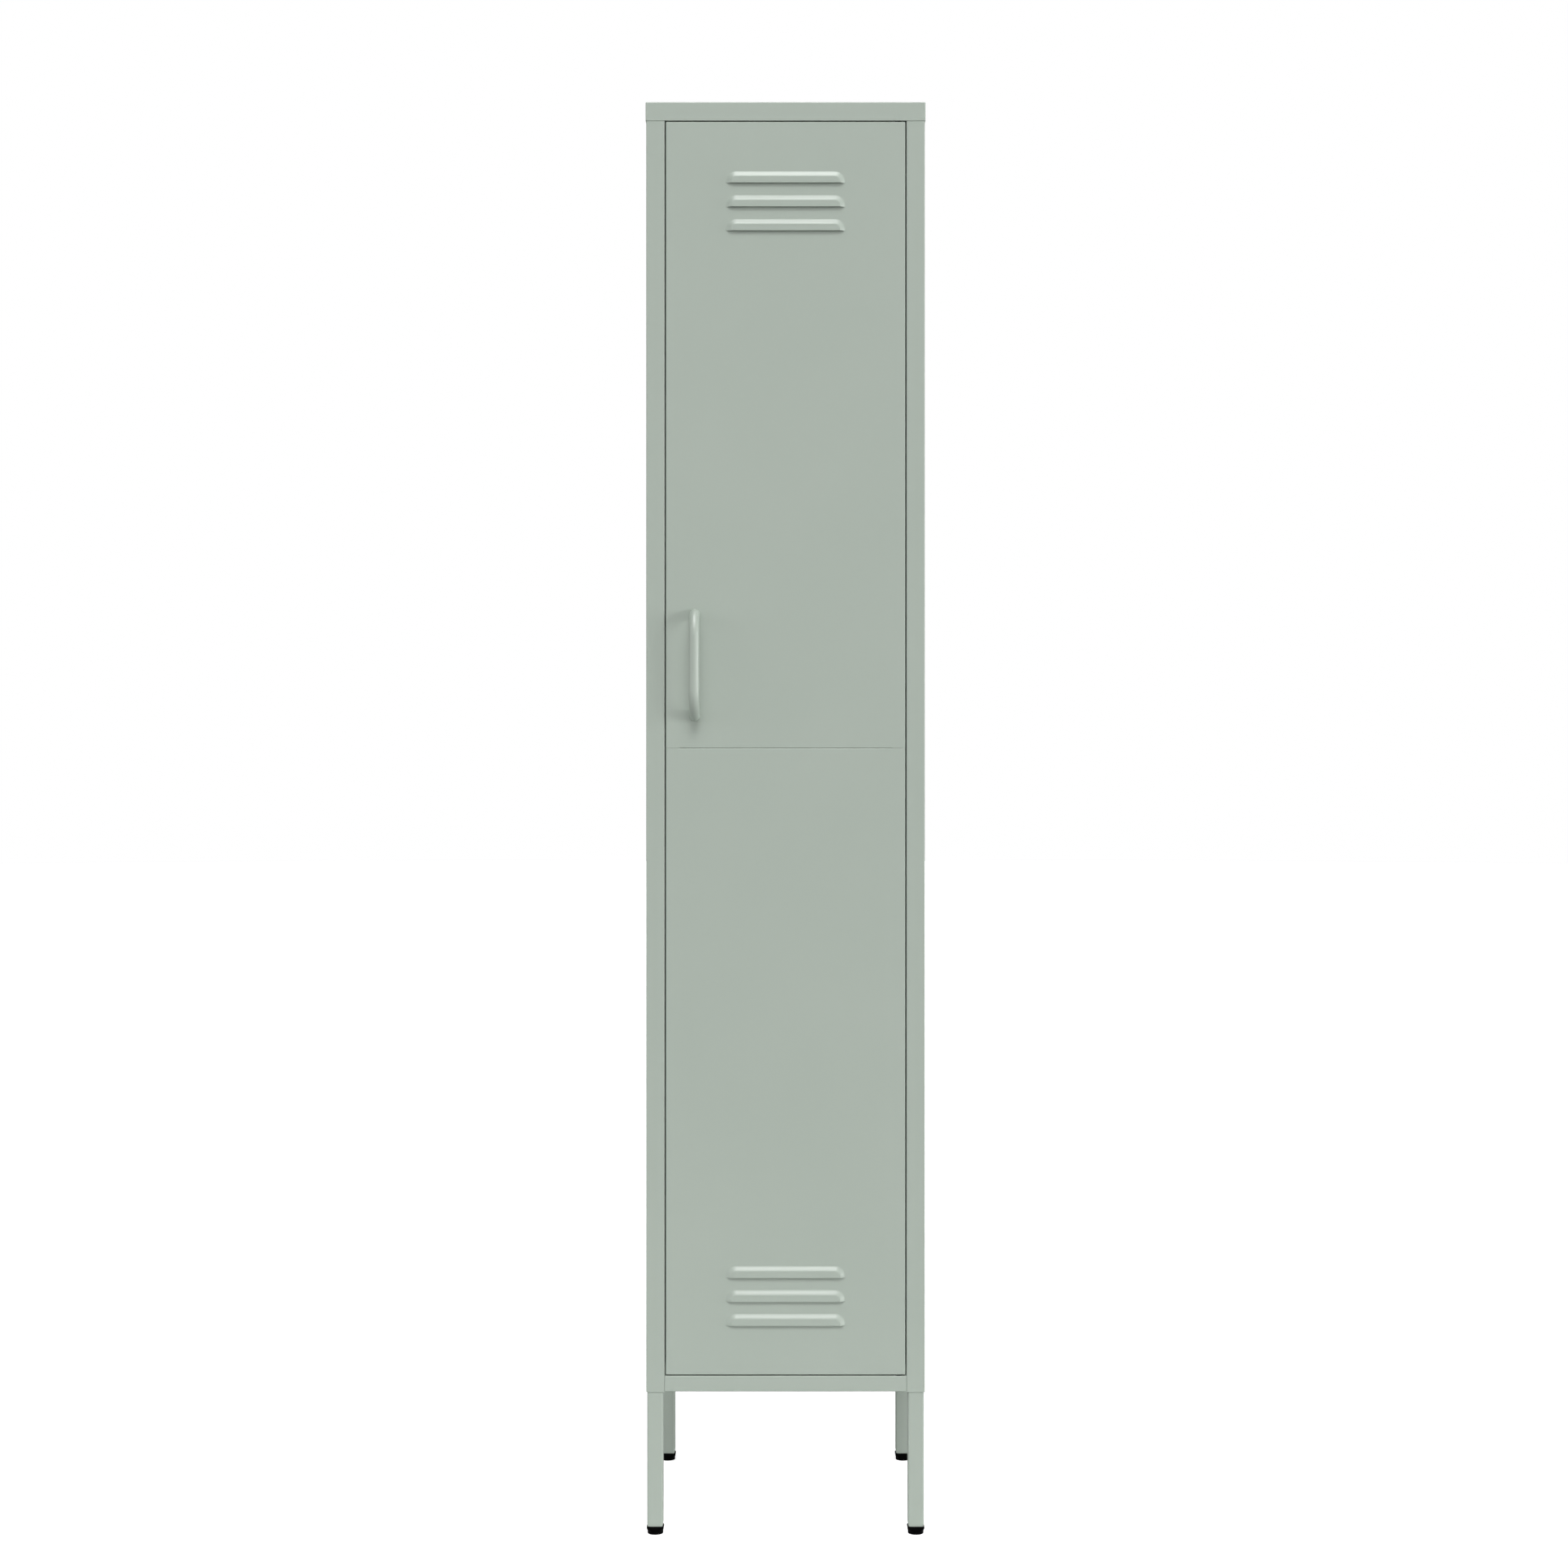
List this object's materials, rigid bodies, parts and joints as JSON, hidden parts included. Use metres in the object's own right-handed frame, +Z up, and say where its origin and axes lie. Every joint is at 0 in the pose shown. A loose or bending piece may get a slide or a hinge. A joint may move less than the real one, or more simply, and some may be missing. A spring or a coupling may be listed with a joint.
{
  "type": "school locker",
  "caption": "Tall narrow steel locker on square legs, with one louvred full-height door on hinge pins, a bar handle, shelves and a coat rail.",
  "frame": {"origin": "middle of the footprint on the floor, with the handle and the lid screws counted in the footprint", "axes": "+Z up, -Y towards the person in front of the door, +X to that person's right, on the hinge side"},
  "size_m": [0.3516, 0.4388, 1.8],
  "materials": {
    "green_powder_coat": "fine satin powder coat",
    "zinc_plated_steel": "zinc plated",
    "chromed_steel": "polished",
    "black_plastic": "moulded, finely grained",
    "white_plastic": "moulded nylon",
    "magnet": "ferrite with steel pole plates",
    "buffer_rubber": "soft matt"
  },
  "bodies": {
    "cabinet": {"lid": "green_powder_coat", "left_side_panel": "green_powder_coat", "right_side_panel": "green_powder_coat", "back_panel": "green_powder_coat", "bottom_panel": "green_powder_coat", "top_rail": "green_powder_coat", "shelf_lower": "green_powder_coat", "shelf_middle": "green_powder_coat", "shelf_upper": "green_powder_coat", "shelf_clips": "zinc_plated_steel", "coat_rail": "chromed_steel", "coat_rail_socket_left": "chromed_steel", "coat_rail_socket_right": "chromed_steel", "leg_front_left": "green_powder_coat", "leg_front_right": "green_powder_coat", "leg_rear_left": "green_powder_coat", "leg_rear_right": "green_powder_coat", "foot_front_left": "black_plastic", "foot_front_right": "black_plastic", "foot_rear_left": "black_plastic", "foot_rear_right": "black_plastic", "leg_bolts": "zinc_plated_steel", "leg_rivet_nuts": "zinc_plated_steel", "hinge_bush_bottom": "black_plastic", "hinge_bush_top": "black_plastic", "catch_case": "white_plastic", "catch_magnet": "magnet", "catch_screws": "zinc_plated_steel", "door_buffers": "buffer_rubber", "lid_screws": "zinc_plated_steel", "panel_rivets": "zinc_plated_steel"},
    "door": {"door_upper_panel": "green_powder_coat", "door_lower_panel": "green_powder_coat", "handle": "green_powder_coat", "handle_screws": "zinc_plated_steel", "hinge_plate_bottom": "zinc_plated_steel", "hinge_plate_top": "zinc_plated_steel", "hinge_pin_bottom": "zinc_plated_steel", "hinge_pin_top": "zinc_plated_steel", "strike_plate": "zinc_plated_steel", "strike_rivets": "zinc_plated_steel", "joining_bar_left": "zinc_plated_steel", "joining_bar_right": "zinc_plated_steel", "joining_rivets": "zinc_plated_steel", "seam_screws": "zinc_plated_steel", "seam_nuts": "zinc_plated_steel"}
  },
  "joints": [
    {"name": "door_hinge", "type": "hinge", "parent": "cabinet", "child": "door", "pos_m": [0.1424, -0.17795, 0.9887], "axis": [0, 0, 1], "range_deg": [0, 115]}
  ]
}
